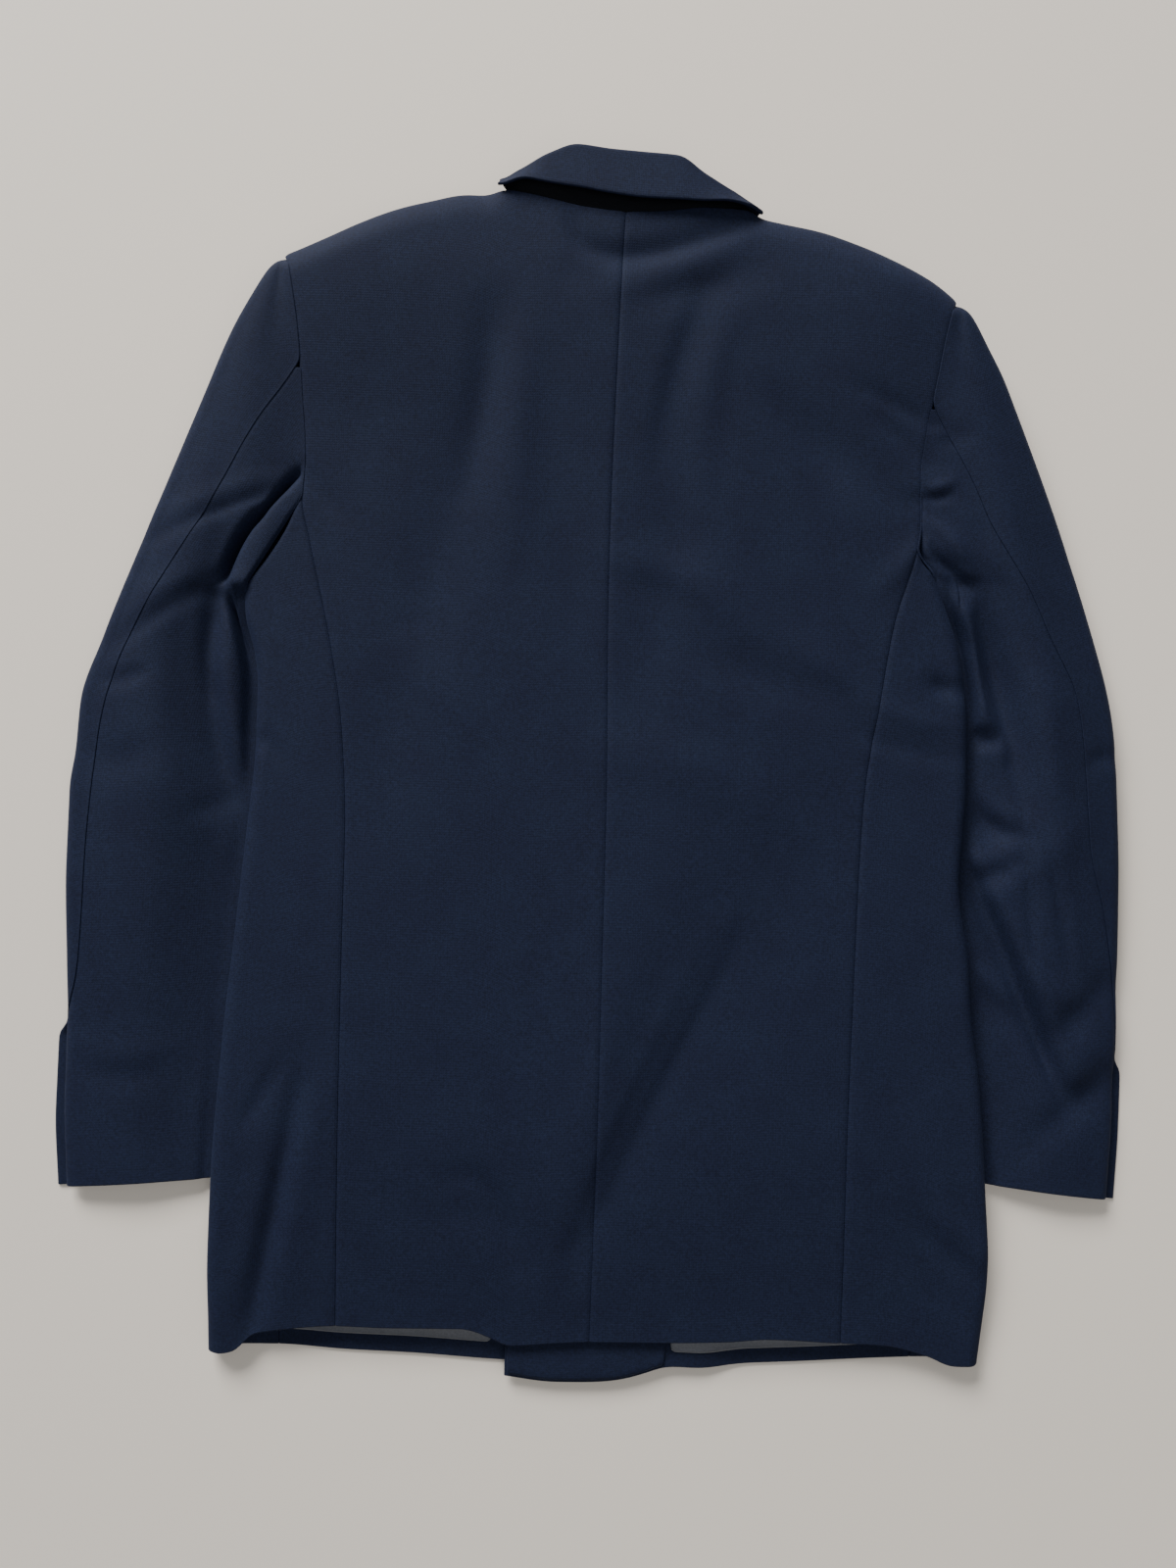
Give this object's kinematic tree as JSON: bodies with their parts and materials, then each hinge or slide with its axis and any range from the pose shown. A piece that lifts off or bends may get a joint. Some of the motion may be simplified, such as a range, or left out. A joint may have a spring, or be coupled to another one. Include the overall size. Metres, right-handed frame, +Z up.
{
  "type": "double-breasted blazer laid flat",
  "caption": "Navy wool double-breasted blazer laid flat face down, back side up, sleeves beside the body, collar standing off the back neck",
  "frame": {"origin": "centre of the blazer's outline, on the surface that it lies on", "axes": "+X to the wearer's right, +Y from hem to collar, +Z up out of the surface"},
  "size_m": [0.7355, 0.8448, 0.037],
  "materials": {
    "wool": "fine matt worsted",
    "lining": "smooth satin lining",
    "button": "dark horn-like"
  },
  "bodies": {
    "root": {"back_left": "wool", "back_right": "wool", "side_panel_left": "wool", "side_panel_right": "wool", "front_left": "wool", "front_right": "wool", "facing_right": "wool", "collar": "wool", "lapel_left": "wool", "lapel_right": "wool", "upper_sleeve_left": "wool", "upper_sleeve_right": "wool", "under_sleeve_left": "wool", "under_sleeve_right": "wool", "lining_left": "lining", "lining_right": "lining", "button_1": "button", "button_2": "button", "button_3": "button", "button_4": "button", "button_5": "button", "button_6": "button"}
  },
  "joints": []
}
